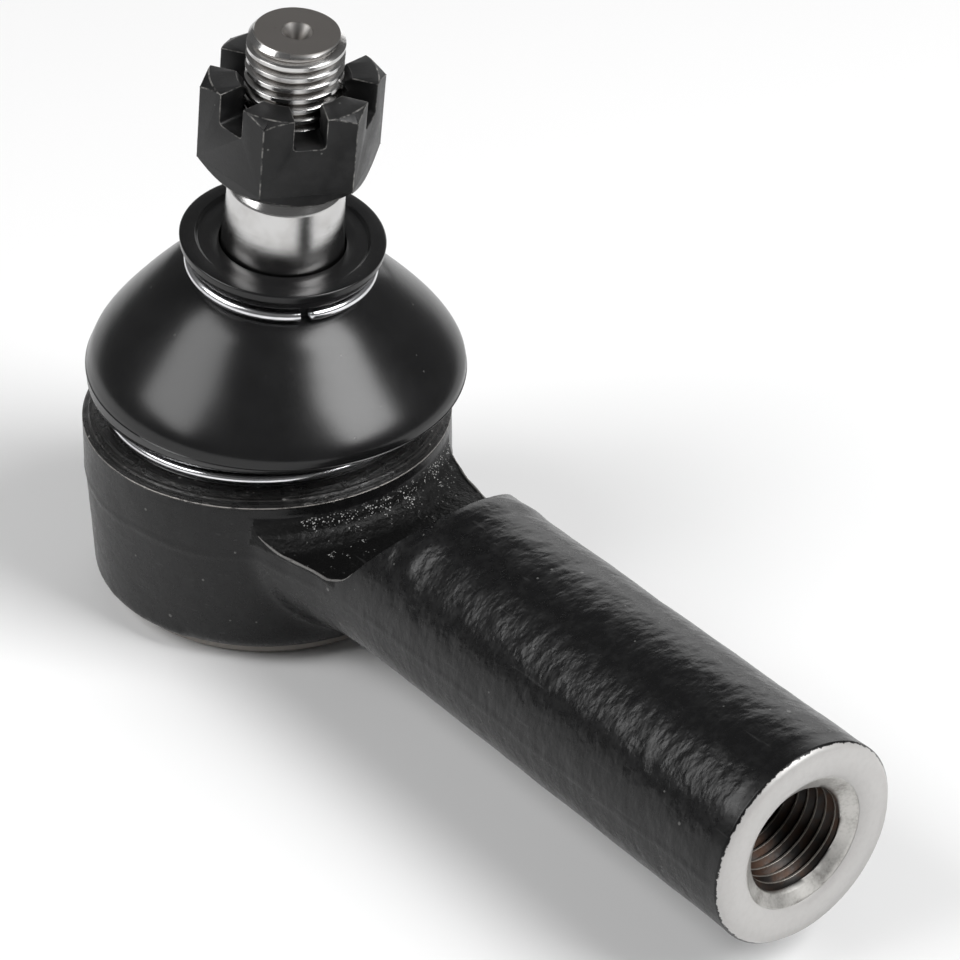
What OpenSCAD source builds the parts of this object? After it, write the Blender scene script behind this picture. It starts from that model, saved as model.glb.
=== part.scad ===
// Tie rod end: a ball stud held in a forged eye with a threaded shank.
// The origin is the centre of the ball, +Z runs along the socket, +X along the shank.

/* [Socket housing] */
// Radius of the head at its machined top edge
head_top_r = 19.9; // [19.5:0.1:22]
// Radius of the head at its lower edge
head_bottom_r = 19.4; // [18.9:0.1:21]
// Height of the top edge above the ball centre
head_top_z = 4.95; // [4.8:0.05:5.2]
// Depth of the lower face below the ball centre
head_bottom_z = 13.8; // [13:0.1:14]
// Radius of the rolled lip under the head
lip_r = 17.4; // [17.2:0.1:18]
// Depth of the rolled lip below the ball centre
lip_z = 15.4; // [15.3:0.1:17]

/* [Shank] */
// Radius of the round shank
shank_r = 10.9; // [10:0.1:12]
// Distance from the ball centre to the end of the shank
shank_end = 86.5; // [70:0.5:120]
// Minor radius of the female thread
rod_thread_r = 5.32; // [5:0.01:6.5]
// Depth of the female thread
rod_thread_depth = 34; // [20:1:44]
// Radius of the countersink on the end face
csk_r = 7.6; // [7.2:0.05:8.5]

/* [Ball stud] */
// Lean of the stud at rest, towards the shank
rest_lean = 8; // [0:1:20]
// Radius of the ball
ball_r = 12.5; // [12.3:0.05:12.5]
// Radius of the taper at its small end
taper_small_r = 6.05; // [5.6:0.05:6.1]
// Height of the small end of the taper
taper_top_z = 34.9; // [33:0.1:36]
// Height of the end face of the stud
stud_top_z = 53.2; // [52:0.1:58]
// Major radius of the stud thread
stud_thread_r = 5; // [4.5:0.05:5]
// Radius of the cotter pin hole
cotter_r = 1.3; // [1:0.05:1.6]

/* [Castle nut] */
// Width across the flats
nut_af = 16.6; // [16:0.1:18]
// Full height
nut_h = 10.5; // [10:0.1:11.5]
// Height of the seat face
nut_z = 37.5; // [37:0.1:38.4]
// Width of the slots
slot_w = 3.3; // [2.8:0.1:3.6]
// Depth of the slots
slot_d = 3.5; // [3:0.1:4.2]
// Turn of the nut about the stud, from +X to the first slot
nut_turn = 36.7; // [0:0.1:60]

/* [Dust boot] */
// Radius of the boot at its widest
boot_r = 20.25; // [19:0.05:22]
// Radius of the top flange
boot_flange_r = 10.8; // [10.4:0.1:12]
// Height of the top flange
boot_top_z = 28.2; // [27.6:0.1:29]
// Thickness of the rubber
boot_wall = 1.5; // [1.2:0.1:1.8]

/* [Hidden] */
fine = 128;
eps = 0.01;
over = 1;

// socket interior
cavity_r = 15.5;
run = 0.05;
bearing_r = 15.42;
seat_r = ball_r + run;
cavity_top_z = 5;
mouth_r = 11.6;
mouth_top_r = 11.8;
upper_bottom_z = -0.5;
lower_top_z = -1.3;
lower_bottom_z = -12;
upper_open_r = 11.3;
plate_t = 0.6;
plate_r = 14.9;
plate_hole_r = 4.5;
spring_t = 0.6;
spring_out_r = 14.4;
spring_in_r = 8;
cover_t = 1.2;
cover_r = 16.7;
cover_top_z = -13.8;
lip_in_r = 15.3;
plate_bottom_z = lower_bottom_z - plate_t;
cover_bottom_z = cover_top_z - cover_t;

// boot seat on the head
spigot_r = 15.6;
spigot_top_z = 8.3;
shelf_z = 5.9;
shelf_r = 18.3;
lower_wire_r = 0.57;
lower_wire_ring_r = 16.95;
lower_wire_z = 6.72;
upper_wire_r = 0.6;
upper_wire_ring_r = 9.55;
upper_wire_z = 24.9;
wire_gap = 7;

// neck and shank
neck_x = 28;
neck_swell = 2;
scallop_in = 19.9;
scallop_floor = 1;
scallop_flat = 28;
scallop_out = 35.4;
shank_chamfer = 0.8;
csk_depth = 1.64;
drill_tip = 3.2;

// stud
neck_stud_r = 6.1;
stud_neck_z = 13.6;
taper_big_z = 15.6;
taper_rate = 0.05;
taper_big_r = taper_small_r + taper_rate * (taper_top_z - taper_big_z);
relief_r = 4.2;
relief_z = 36.4;
thread_bottom_z = 37.2;
thread_chamfer = 0.9;
thread_ease = 0.18;
free_thread_z = 49.9;
thread_tip_r = 4.3;
centre_r = 1.55;
centre_depth = 2.6;
ball_flat_z = 10.8;
cotter_z = 47.3;

// nut
nut_bore_r = stud_thread_r + run;
nut_corner_r = nut_af / 2 / cos(30) * 0.987;
nut_base_r = 8.1;
nut_crown_r = 8.4;
nut_csk = 0.7;

module leaning() { rotate([0, rest_lean, 0]) children(); }

module ring(outline, colour_fn = fine) { rotate_extrude($fn = colour_fn) polygon(outline); }

module wire_ring(ring_r, wire_r, z, gap, turn) {
    translate([0, 0, z]) rotate([0, 0, turn + gap / 2])
        rotate_extrude(angle = 360 - gap, $fn = fine) translate([ring_r, 0]) circle(r = wire_r, $fn = 24);
}

module neck_and_shank() {
    ring([[0, 0], [shank_r + neck_swell + 0.6, 0], [shank_r + neck_swell, 17], [shank_r + 0.64 * neck_swell, 19], [shank_r + 0.3 * neck_swell, 22],
          [shank_r + 0.1 * neck_swell, 25], [shank_r, neck_x], [0, neck_x]]);
    translate([0, 0, neck_x - eps]) cylinder(r = shank_r, h = shank_end - neck_x - shank_chamfer + eps, $fn = fine);
    translate([0, 0, shank_end - shank_chamfer]) cylinder(r1 = shank_r, r2 = shank_r - shank_chamfer, h = shank_chamfer, $fn = fine);
}

module housing() {
    color([0.05, 0.05, 0.055]) difference() {
        union() {
            // head with drafted wall, bevelled top and spigot for the boot
            ring([[0, -head_bottom_z + over], [0, spigot_top_z], [spigot_r - 0.4, spigot_top_z], [spigot_r, spigot_top_z - 0.4],
                  [spigot_r, shelf_z], [shelf_r, shelf_z], [head_top_r, head_top_z], [head_top_r + 0.1, 0],
                  [head_bottom_r, -head_bottom_z + 0.9], [head_bottom_r - 0.2, -head_bottom_z + 0.45],
                  [head_bottom_r - 0.9, -head_bottom_z], [lip_r + 0.05, -head_bottom_z], [lip_r, -lip_z + 0.5],
                  [lip_r - 0.5, -lip_z], [0, -lip_z]]);
            // neck swelling into the head, kept below the head's top, then the round shank
            difference() {
                rotate([0, 90, 0]) neck_and_shank();
                translate([0, 0, scallop_floor + 2.8]) cylinder(r = scallop_in + eps, h = 2 * shank_r, $fn = fine);
            }
        }
        // scallop round the head that leaves room for the boot
        ring([[scallop_in, 2 * shank_r], [scallop_in, scallop_floor + 2.8], [scallop_in + 0.5, scallop_floor + 1.2], [scallop_in + 1.7, scallop_floor + 0.3],
              [scallop_in + 3.6, scallop_floor], [scallop_flat, scallop_floor + 0.2], [scallop_flat + 1.8, scallop_floor + 0.9], [scallop_flat + 2.8, scallop_floor + 2],
              [scallop_out, shank_r], [scallop_out + 0.6, 2 * shank_r]]);
        // socket, open at the top for the stud and closed below by the cover
        ring([[0, spigot_top_z + over], [mouth_top_r + over / 3, spigot_top_z + over], [mouth_r, cavity_top_z], [cavity_r, cavity_top_z],
              [cavity_r, cover_top_z], [cover_r + run, cover_top_z], [cover_r + run, cover_bottom_z], [lip_in_r, cover_bottom_z],
              [lip_in_r, -lip_z - over], [0, -lip_z - over]]);
        // female thread, drilled blind
        translate([shank_end, 0, 0]) rotate([0, -90, 0]) {
            cylinder(r = rod_thread_r, h = rod_thread_depth, $fn = fine);
            translate([0, 0, rod_thread_depth]) cylinder(r1 = rod_thread_r, r2 = 0, h = drill_tip, $fn = fine);
            translate([0, 0, -eps]) cylinder(r1 = csk_r, r2 = rod_thread_r, h = csk_depth + eps, $fn = fine);
        }
    }
}

module end_cover() {
    color([0.33, 0.31, 0.29]) ring([[0, cover_top_z - 0.3], [7, cover_top_z - 0.3], [8.2, cover_top_z], [cover_r, cover_top_z],
        [cover_r, cover_bottom_z + 0.02], [8.6, cover_bottom_z + 0.02], [7.4, cover_bottom_z - 0.3], [0, cover_bottom_z - 0.3]]);
}

module disc_spring() {
    color([0.45, 0.45, 0.47]) ring([[spring_in_r, plate_bottom_z - 0.02], [spring_in_r, plate_bottom_z - spring_t],
        [spring_out_r, cover_top_z + 0.02], [spring_out_r, cover_top_z + spring_t]]);
}

module spring_plate() {
    color([0.5, 0.5, 0.52]) ring([[plate_hole_r, lower_bottom_z - 0.02], [plate_r, lower_bottom_z - 0.02],
        [plate_r, plate_bottom_z], [plate_hole_r, plate_bottom_z]]);
}

module lower_bearing() {
    color([0.86, 0.85, 0.8]) difference() {
        ring([[0, lower_top_z], [bearing_r, lower_top_z], [bearing_r, lower_bottom_z + 0.6], [bearing_r - 0.6, lower_bottom_z], [0, lower_bottom_z]]);
        sphere(r = seat_r, $fn = fine);
    }
}

module upper_bearing() {
    color([0.86, 0.85, 0.8]) difference() {
        ring([[0, cavity_top_z - 0.02], [bearing_r, cavity_top_z - 0.02], [bearing_r, upper_bottom_z], [0, upper_bottom_z]]);
        sphere(r = seat_r, $fn = fine);
        cylinder(r = upper_open_r, h = cavity_top_z + over, $fn = fine);
    }
}

module ball_stud() {
    color([0.72, 0.72, 0.74]) leaning() difference() {
        union() {
            difference() {
                sphere(r = ball_r, $fn = fine);
                translate([0, 0, -ball_flat_z - ball_r]) cylinder(r = ball_r, h = ball_r, $fn = fine);
            }
            // neck, taper, relief and threaded end
            ring([[0, 0], [neck_stud_r + 1.2, 0], [neck_stud_r + 1.2, 10.2], [neck_stud_r, 11.6], [neck_stud_r, stud_neck_z],
                  [taper_big_r, taper_big_z], [taper_small_r, taper_top_z], [relief_r, relief_z], [relief_r, thread_bottom_z - 0.7],
                  [stud_thread_r - 0.2, thread_bottom_z - eps], [0, thread_bottom_z - eps]]);
            translate([0, 0, thread_bottom_z - 2 * eps])
                cylinder(r = stud_thread_r - thread_ease, h = free_thread_z - thread_bottom_z + 3 * eps, $fn = fine);
            translate([0, 0, free_thread_z])
                cylinder(r = stud_thread_r, h = stud_top_z - thread_chamfer - free_thread_z, $fn = fine);
            translate([0, 0, stud_top_z - thread_chamfer])
                cylinder(r1 = stud_thread_r, r2 = thread_tip_r, h = thread_chamfer, $fn = fine);
        }
        // centre drill mark and cotter pin hole
        translate([0, 0, stud_top_z - centre_depth]) cylinder(r1 = 0, r2 = centre_r, h = centre_depth + eps, $fn = fine);
        translate([0, 0, cotter_z]) rotate([0, 90, nut_turn])
            cylinder(r = cotter_r, h = 3 * stud_thread_r, center = true, $fn = 64);
    }
}

// outline of the boot: radius and height, outside going down then inside going up
boot_outside = [[boot_flange_r - 1.85, boot_top_z - 0.4], [boot_flange_r - 1.7, boot_top_z - 0.05], [boot_flange_r - 1.5, boot_top_z], [boot_flange_r - 0.2, boot_top_z],
    [boot_flange_r, boot_top_z - 0.2], [boot_flange_r - 0.1, boot_top_z - 0.9], [boot_flange_r - 0.6, boot_top_z - 1.9], [9.15, boot_top_z - 2.3],
    [8.92, 25.6], [8.92, 24.35], [9.4, 24.05], [10.4, 23.55], [11.7, 22.6], [13.2, 21.2], [15.1, 19.3], [17, 17.3], [18.6, 15.4], [19.7, 13.8],
    [boot_r - 0.12, 12.5], [boot_r, 11.6], [boot_r - 0.25, 10.6], [boot_r - 1.2, 9.1], [17.9, 8.1], [16.9, 7.6], [16.35, 7.35], [16.35, 6.1], [17.1, 6.05], [17.2, 5.95]];
boot_inside = [[15.65, 5.95], [15.65, 8.3], [16.6, 9.1], [boot_r - boot_wall - 0.7, 10.2], [boot_r - boot_wall, 11.5], [boot_r - boot_wall - 0.3, 12.6],
    [18, 13.8], [17, 15.2], [15.4, 17.1], [13.6, 19], [11.7, 20.9], [10, 22.3], [8.5, 23.1], [7.4, 24], [6.85, 24.8], [6.7, 25.6], [6.68, boot_top_z - 0.4]];
boot_outline = concat(boot_outside, boot_inside);
boot_seg = 64;
blend_low_z = 7.5;
blend_high_z = 17;
function ease(u) = u <= 0 ? 0 : u >= 1 ? 1 : u * u * (3 - 2 * u);
function boot_lean(z) = rest_lean * ease((z - blend_low_z) / (blend_high_z - blend_low_z));
// the bulge is pulled along with the stud, further than its own lean would take it
boot_pull = 1.3;
function boot_shift(z) = boot_pull * ease((z - 8.3) / 3) * (1 - ease((z - 14) / 9));
function leaned(r, z, a) = let (b = boot_lean(z), x = r * cos(a)) [x * cos(b) + z * sin(b) + boot_shift(z), r * sin(a), z * cos(b) - x * sin(b)];

module dust_boot() {
    n = len(boot_outline);
    points = [for (i = [0 : n - 1]) for (j = [0 : boot_seg - 1]) leaned(boot_outline[i][0], boot_outline[i][1], 360 * j / boot_seg)];
    faces = [for (i = [0 : n - 1]) for (j = [0 : boot_seg - 1]) for (k = [0, 1])
        let (a = i * boot_seg + j, b = i * boot_seg + (j + 1) % boot_seg, c = ((i + 1) % n) * boot_seg + (j + 1) % boot_seg, d = ((i + 1) % n) * boot_seg + j)
        k == 0 ? [a, b, c] : [a, c, d]];
    color([0.06, 0.06, 0.065]) polyhedron(points = points, faces = faces);
}

module boot_upper_ring() {
    color([0.78, 0.78, 0.8]) leaning() wire_ring(upper_wire_ring_r, upper_wire_r, upper_wire_z, wire_gap, -21);
}

module boot_lower_ring() {
    color([0.78, 0.78, 0.8]) wire_ring(lower_wire_ring_r, lower_wire_r, lower_wire_z, 1, 5);
}

module castle_nut() {
    color([0.09, 0.09, 0.095]) leaning() translate([0, 0, nut_z]) rotate([0, 0, nut_turn]) difference() {
        intersection() {
            // six flats, with slots at the middle of each flat
            rotate([0, 0, 30]) cylinder(r = nut_af / 2 / cos(30), h = nut_h, $fn = 6);
            ring([[0, 0], [nut_base_r, 0], [nut_corner_r, 1.4], [nut_corner_r, nut_h - 0.65], [nut_crown_r, nut_h], [0, nut_h]]);
        }
        translate([0, 0, -over]) cylinder(r = nut_bore_r, h = nut_h + 2 * over, $fn = fine);
        translate([0, 0, -eps]) cylinder(r1 = nut_bore_r + nut_csk, r2 = nut_bore_r, h = nut_csk, $fn = fine);
        translate([0, 0, nut_h - nut_csk]) cylinder(r1 = nut_bore_r, r2 = nut_bore_r + nut_csk, h = nut_csk + eps, $fn = fine);
        for (i = [0 : 2]) rotate([0, 0, 60 * i]) translate([-nut_af, -slot_w / 2, nut_h - slot_d]) cube([2 * nut_af, slot_w, slot_d + over]);
    }
}

housing();
end_cover();
disc_spring();
spring_plate();
lower_bearing();
upper_bearing();
ball_stud();
dust_boot();
boot_upper_ring();
boot_lower_ring();
castle_nut();
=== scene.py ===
import math
import bmesh
import bpy
from mathutils import Matrix, Vector, noise


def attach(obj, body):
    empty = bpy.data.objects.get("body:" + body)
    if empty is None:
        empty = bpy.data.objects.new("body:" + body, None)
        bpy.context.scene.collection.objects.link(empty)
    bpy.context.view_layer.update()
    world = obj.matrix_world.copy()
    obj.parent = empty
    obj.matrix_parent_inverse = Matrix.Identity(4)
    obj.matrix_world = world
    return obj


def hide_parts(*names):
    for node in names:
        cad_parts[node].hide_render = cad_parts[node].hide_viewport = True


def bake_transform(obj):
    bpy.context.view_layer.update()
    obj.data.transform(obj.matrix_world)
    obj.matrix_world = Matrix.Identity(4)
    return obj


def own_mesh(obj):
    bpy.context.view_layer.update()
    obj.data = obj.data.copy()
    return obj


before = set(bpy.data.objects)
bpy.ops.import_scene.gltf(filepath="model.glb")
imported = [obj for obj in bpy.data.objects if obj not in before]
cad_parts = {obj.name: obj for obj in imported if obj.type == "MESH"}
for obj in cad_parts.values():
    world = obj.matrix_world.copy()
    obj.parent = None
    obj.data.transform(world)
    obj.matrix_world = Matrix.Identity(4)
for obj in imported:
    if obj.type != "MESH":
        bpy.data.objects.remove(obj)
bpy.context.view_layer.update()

scene = bpy.context.scene
print("frame loaded:", sorted(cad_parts))

# shapes are drawn in millimetres and put into metres as the last step
mm = 0.001
restLean = math.radians(8.0)
leanTurn = Matrix.Rotation(restLean, 4, "Y")


# small modelling helpers


def roundCorners(points, radii, steps=4):
    # replaces each inner corner of an open outline by an arc of the given radius
    out = [points[0]]
    for i in range(1, len(points) - 1):
        r = radii.get(i, 0)
        p = Vector(points[i])
        a, b = Vector(points[i - 1]) - p, Vector(points[i + 1]) - p
        if r <= 0 or a.length < 1e-6 or b.length < 1e-6:
            out.append(tuple(p))
            continue
        a.normalize(); b.normalize()
        half = a.angle(b) / 2
        if half > math.radians(88):
            out.append(tuple(p))
            continue
        cut = r / math.tan(half)
        start, end = p + a * cut, p + b * cut
        middle = p + (a + b).normalized() * (r / math.sin(half))
        u, v = start - middle, end - middle
        turn = u.angle_signed(v)
        for k in range(steps + 1):
            t = -turn * k / steps
            out.append((middle.x + u.x * math.cos(t) - u.y * math.sin(t),
                middle.y + u.x * math.sin(t) + u.y * math.cos(t)))
    out.append(points[-1])
    return out


def fineLine(points, step):
    # adds points so that no stretch of the outline is longer than step
    out = [points[0]]
    for a, b in zip(points, points[1:]):
        n = max(1, math.ceil(math.dist(a, b) / step))
        out += [(a[0] + (b[0] - a[0]) * k / n, a[1] + (b[1] - a[1]) * k / n) for k in range(1, n + 1)]
    return out


def throughPoints(points, steps=5):
    # smooth curve that passes through every point
    padded = [points[0]] + list(points) + [points[-1]]
    out = []
    for a, b, c, d in zip(padded, padded[1:], padded[2:], padded[3:]):
        for k in range(steps):
            t = k / steps
            out.append(tuple(0.5 * (2 * q + (r - p) * t + (2 * p - 5 * q + 4 * r - w) * t * t
                + (3 * q - p - 3 * r + w) * t ** 3) for p, q, r, w in zip(a, b, c, d)))
    return out + [points[-1]]


def openMesh(obj):
    bm = bmesh.new()
    bm.from_mesh(obj.data)
    return bm


def closeMesh(bm, obj):
    bm.to_mesh(obj.data)
    bm.free()


def drawLine(bm, places):
    line = [bm.verts.new(p) for p in places]
    for a, b in zip(line, line[1:]):
        bm.edges.new((a, b))
    return line


def soften(bm, verts, factor):
    bmesh.ops.smooth_vert(bm, verts=verts, factor=factor, use_axis_x=True, use_axis_y=True, use_axis_z=True)


def turnAll(bm, degrees, axis="Z"):
    turn = Matrix.Rotation(math.radians(degrees), 3, axis)
    bmesh.ops.rotate(bm, verts=bm.verts, cent=(0, 0, 0), matrix=turn)


def liftAll(bm, z):
    bmesh.ops.translate(bm, verts=bm.verts, vec=(0, 0, z))


def cutAcross(bm, place, way, clear=False):
    everything = bm.verts[:] + bm.edges[:] + bm.faces[:]
    bmesh.ops.bisect_plane(bm, geom=everything, plane_co=place, plane_no=way, clear_outer=clear, dist=1e-5)


def openEdges(bm):
    return [e for e in bm.edges if len(e.link_faces) == 1]


def faceOutwards(bm):
    bmesh.ops.recalc_face_normals(bm, faces=bm.faces)


def cleanUp(bm, limit=0.0005):
    bmesh.ops.remove_doubles(bm, verts=bm.verts, dist=limit)
    bmesh.ops.dissolve_degenerate(bm, edges=bm.edges, dist=limit)
    faceOutwards(bm)
    return bm


def lathe(outline, steps=160, axis="Z", closed=False):
    # outline is (radius, height); spun once round Z or X
    bm = bmesh.new()
    put = (lambda r, h: (r, 0, h)) if axis == "Z" else (lambda r, h: (h, 0, r))
    line = drawLine(bm, [put(r, h) for r, h in outline])
    if closed:
        bm.edges.new((line[-1], line[0]))
    way = (0, 0, 1) if axis == "Z" else (1, 0, 0)
    bmesh.ops.spin(bm, geom=bm.verts[:] + bm.edges[:], cent=(0, 0, 0), axis=way, angle=math.tau, steps=steps,
        use_merge=True, use_duplicate=False)
    return cleanUp(bm)


def asObject(bm, name):
    mesh = bpy.data.meshes.new(name)
    bm.to_mesh(mesh)
    bm.free()
    obj = bpy.data.objects.new(name, mesh)
    scene.collection.objects.link(obj)
    return obj


def applied(obj):
    # makes the modifiers part of the mesh
    graph = bpy.context.evaluated_depsgraph_get()
    graph.update()
    mesh = bpy.data.meshes.new_from_object(obj.evaluated_get(graph), preserve_all_data_layers=True, depsgraph=graph)
    old = obj.data
    obj.modifiers.clear()
    obj.data = mesh
    bpy.data.meshes.remove(old)
    return obj


def carve(obj, tool, how="DIFFERENCE"):
    if isinstance(tool, bmesh.types.BMesh):
        tool = asObject(tool, "tool")
    m = obj.modifiers.new("carve", "BOOLEAN")
    m.operation, m.solver, m.object = how, "EXACT", tool
    applied(obj)
    old = tool.data
    bpy.data.objects.remove(tool)
    bpy.data.meshes.remove(old)
    return obj


def softEdges(obj, angle=38):
    # smooth shading, with edges sharper than angle kept crisp
    bm = openMesh(obj)
    for f in bm.faces:
        f.smooth = True
    for e in bm.edges:
        e.smooth = len(e.link_faces) != 2 or e.calc_face_angle(0) < math.radians(angle)
    closeMesh(bm, obj)
    return obj


def facesOut(obj):
    bm = openMesh(obj)
    cleanUp(bm, 0.0003)
    closeMesh(bm, obj)
    return obj


def finishPiece(obj, body, material, node=None, angle=38):
    softEdges(obj, angle)
    obj.data.transform(Matrix.Scale(mm, 4))
    obj.data.materials.clear()
    obj.data.materials.append(material)
    if body:
        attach(obj, body)
    if node:
        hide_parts(node)
    print("made", obj.name, len(obj.data.vertices), "points")
    return obj


def lump(p, size, seed=0.0, octaves=3):
    # signed noise, about -1 to 1, with features of the given size in mm
    return noise.fractal(Vector((p.x / size + seed, p.y / size - seed, p.z / size + 2 * seed)), 1.0, 2.0, octaves)


def fromZ(p):
    return math.hypot(p.x, p.y)


def fromX(p):
    return math.hypot(p.y, p.z)


def smoothStep(x, a, b):
    t = min(1, max(0, (x - a) / (b - a)))
    return t * t * (3 - 2 * t)


def threadSolid(crest, root, pitch, low, high, envelope, steps):
    # one turn of the thread's outline is spun upwards, then both ends are cut square and closed
    bm = bmesh.new()
    flat = 0.32 * pitch
    rise = (pitch - flat - pitch / 4) / 2
    outline = [(root, 0), (root + 0.04 * (crest - root), pitch / 8), (crest - 0.03, pitch / 8 + rise - 0.03),
        (crest, pitch / 8 + rise),
               (crest, pitch / 8 + rise + flat), (crest - 0.03,
                   pitch / 8 + rise + flat + 0.03), (root + 0.04 * (crest - root), pitch - pitch / 8), (root, pitch)]
    drawLine(bm, [(r, 0, low - 1.5 * pitch + z) for r, z in outline])
    turns = math.ceil((high - low) / pitch) + 3
    total = turns * steps
    bmesh.ops.spin(bm, geom=bm.verts[:] + bm.edges[:], cent=(0, 0, 0), axis=(0, 0, 1), dvec=(0, 0, pitch / steps),
        angle=math.tau * turns, steps=total, use_merge=False, use_duplicate=False)
    bmesh.ops.remove_doubles(bm, verts=bm.verts, dist=0.004)
    for v in bm.verts:
        r = fromZ(v.co)
        wanted = envelope(r, v.co.z)
        if abs(wanted - r) > 1e-6:
            v.co.x *= wanted / r
            v.co.y *= wanted / r
    for z, keep in ((low, -1), (high, 1)):
        cutAcross(bm, (0, 0, z), (0, 0, keep), True)
    bmesh.ops.remove_doubles(bm, verts=bm.verts, dist=0.002)
    bmesh.ops.holes_fill(bm, edges=openEdges(bm), sides=0)
    bmesh.ops.triangulate(bm, faces=[f for f in bm.faces if len(f.verts) > 4])
    faceOutwards(bm)
    return bm


# material helpers


def newMaterial(name):
    mat = bpy.data.materials.new(name)
    mat.use_nodes = True
    tree = mat.node_tree
    shader = tree.nodes["Principled BSDF"]
    return mat, tree, shader


def addNode(tree, kind, **values):
    n = tree.nodes.new(kind)
    for key, value in values.items():
        if key in n.inputs:
            n.inputs[key].default_value = value
        else:
            setattr(n, key, value)
    return n


def joinUp(tree, a, b):
    tree.links.new(a, b)


def mathNode(tree, operation, a, b=None):
    n = tree.nodes.new("ShaderNodeMath")
    n.operation = operation
    for i, v in enumerate((a, b)):
        if v is None:
            continue
        if isinstance(v, (int, float)):
            n.inputs[i].default_value = v
        else:
            tree.links.new(v, n.inputs[i])
    return n.outputs[0]


def times(tree, a, b):
    return mathNode(tree, "MULTIPLY", a, b)


def axesOf(tree, pos):
    n = tree.nodes.new("ShaderNodeSeparateXYZ")
    tree.links.new(pos, n.inputs[0])
    return n.outputs


def ramp(tree, value, low, high, out0=0.0, out1=1.0, smooth=True):
    n = tree.nodes.new("ShaderNodeMapRange")
    n.interpolation_type = "SMOOTHSTEP" if smooth else "LINEAR"
    for i, v in enumerate((low, high, out0, out1)):
        n.inputs[i + 1].default_value = v
    tree.links.new(value, n.inputs[0])
    return n.outputs[0]


def mixColour(tree, amount, a, b):
    n = tree.nodes.new("ShaderNodeMix")
    n.data_type = "RGBA"
    tree.links.new(amount, n.inputs[0])
    for i, v in ((6, a), (7, b)):
        if isinstance(v, tuple):
            n.inputs[i].default_value = (*v, 1)
        else:
            tree.links.new(v, n.inputs[i])
    return n.outputs[2]


def mixValue(tree, amount, a, b):
    n = tree.nodes.new("ShaderNodeMix")
    n.data_type = "FLOAT"
    for i, v in ((0, amount), (2, a), (3, b)):
        if isinstance(v, (int, float)):
            n.inputs[i].default_value = v
        else:
            tree.links.new(v, n.inputs[i])
    return n.outputs[0]


def bumpFrom(tree, shader, height, distance, strength=1.0, after=None):
    n = tree.nodes.new("ShaderNodeBump")
    n.inputs["Strength"].default_value = strength
    n.inputs["Distance"].default_value = distance * mm
    tree.links.new(height, n.inputs["Height"])
    if after is not None:
        tree.links.new(after, n.inputs["Normal"])
    tree.links.new(n.outputs[0], shader.inputs["Normal"])
    return n.outputs[0]


def makeGroup(name, inputs, outputs):
    g = bpy.data.node_groups.new(name, "ShaderNodeTree")
    for label, kind, value in inputs:
        s = g.interface.new_socket(name=label, in_out="INPUT", socket_type=kind)
        if value is not None:
            s.default_value = value
    for label, kind in outputs:
        g.interface.new_socket(name=label, in_out="OUTPUT", socket_type=kind)
    return g, g.nodes.new("NodeGroupInput"), g.nodes.new("NodeGroupOutput")


def useGroup(tree, group, **values):
    n = tree.nodes.new("ShaderNodeGroup")
    n.node_tree = group
    for key, value in values.items():
        socket = n.inputs[key]
        if hasattr(value, "is_linked"):
            tree.links.new(value, socket)
        else:
            socket.default_value = value
    return n


# dust: tiny pale specks scattered over any surface
dustGroup, gIn, gOut = makeGroup("dustSpecks",
    [("Position", "NodeSocketVector", None), ("Spacing", "NodeSocketFloat", 700.0),
    ("Amount", "NodeSocketFloat", 0.2), ("Size", "NodeSocketFloat", 0.12)], [("Mask", "NodeSocketFloat")])
cells = addNode(dustGroup, "ShaderNodeTexVoronoi", feature="F1")
joinUp(dustGroup, gIn.outputs["Position"], cells.inputs["Vector"])
joinUp(dustGroup, gIn.outputs["Spacing"], cells.inputs["Scale"])
patch = addNode(dustGroup, "ShaderNodeSeparateColor")
joinUp(dustGroup, cells.outputs["Color"], patch.inputs[0])
chosen = mathNode(dustGroup, "LESS_THAN", patch.outputs[0], gIn.outputs["Amount"])
reach = times(dustGroup, patch.outputs[1], gIn.outputs["Size"])
near = mathNode(dustGroup, "LESS_THAN", cells.outputs["Distance"], reach)
joinUp(dustGroup, times(dustGroup, chosen, near), gOut.inputs["Mask"])

# grain: two sizes of noise added into one height, for paint, rubber and steel
grainGroup, gIn, gOut = makeGroup("surfaceGrain",
    [("Position", "NodeSocketVector", None), ("Coarse", "NodeSocketFloat", 300.0),
    ("Fine", "NodeSocketFloat", 2500.0), ("Balance", "NodeSocketFloat", 0.4)],
    [("Height", "NodeSocketFloat"), ("Cloud", "NodeSocketFloat")])
coarse = addNode(grainGroup, "ShaderNodeTexNoise", Detail=3.0, Roughness=0.55)
fine = addNode(grainGroup, "ShaderNodeTexNoise", Detail=2.0, Roughness=0.6)
for tex, label in ((coarse, "Coarse"), (fine, "Fine")):
    joinUp(grainGroup, gIn.outputs["Position"], tex.inputs["Vector"])
    joinUp(grainGroup, gIn.outputs[label], tex.inputs["Scale"])
joinUp(grainGroup, mixValue(grainGroup, gIn.outputs["Balance"], coarse.outputs[0], fine.outputs[0]),
    gOut.inputs["Height"])
joinUp(grainGroup, coarse.outputs[0], gOut.inputs["Cloud"])

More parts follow.
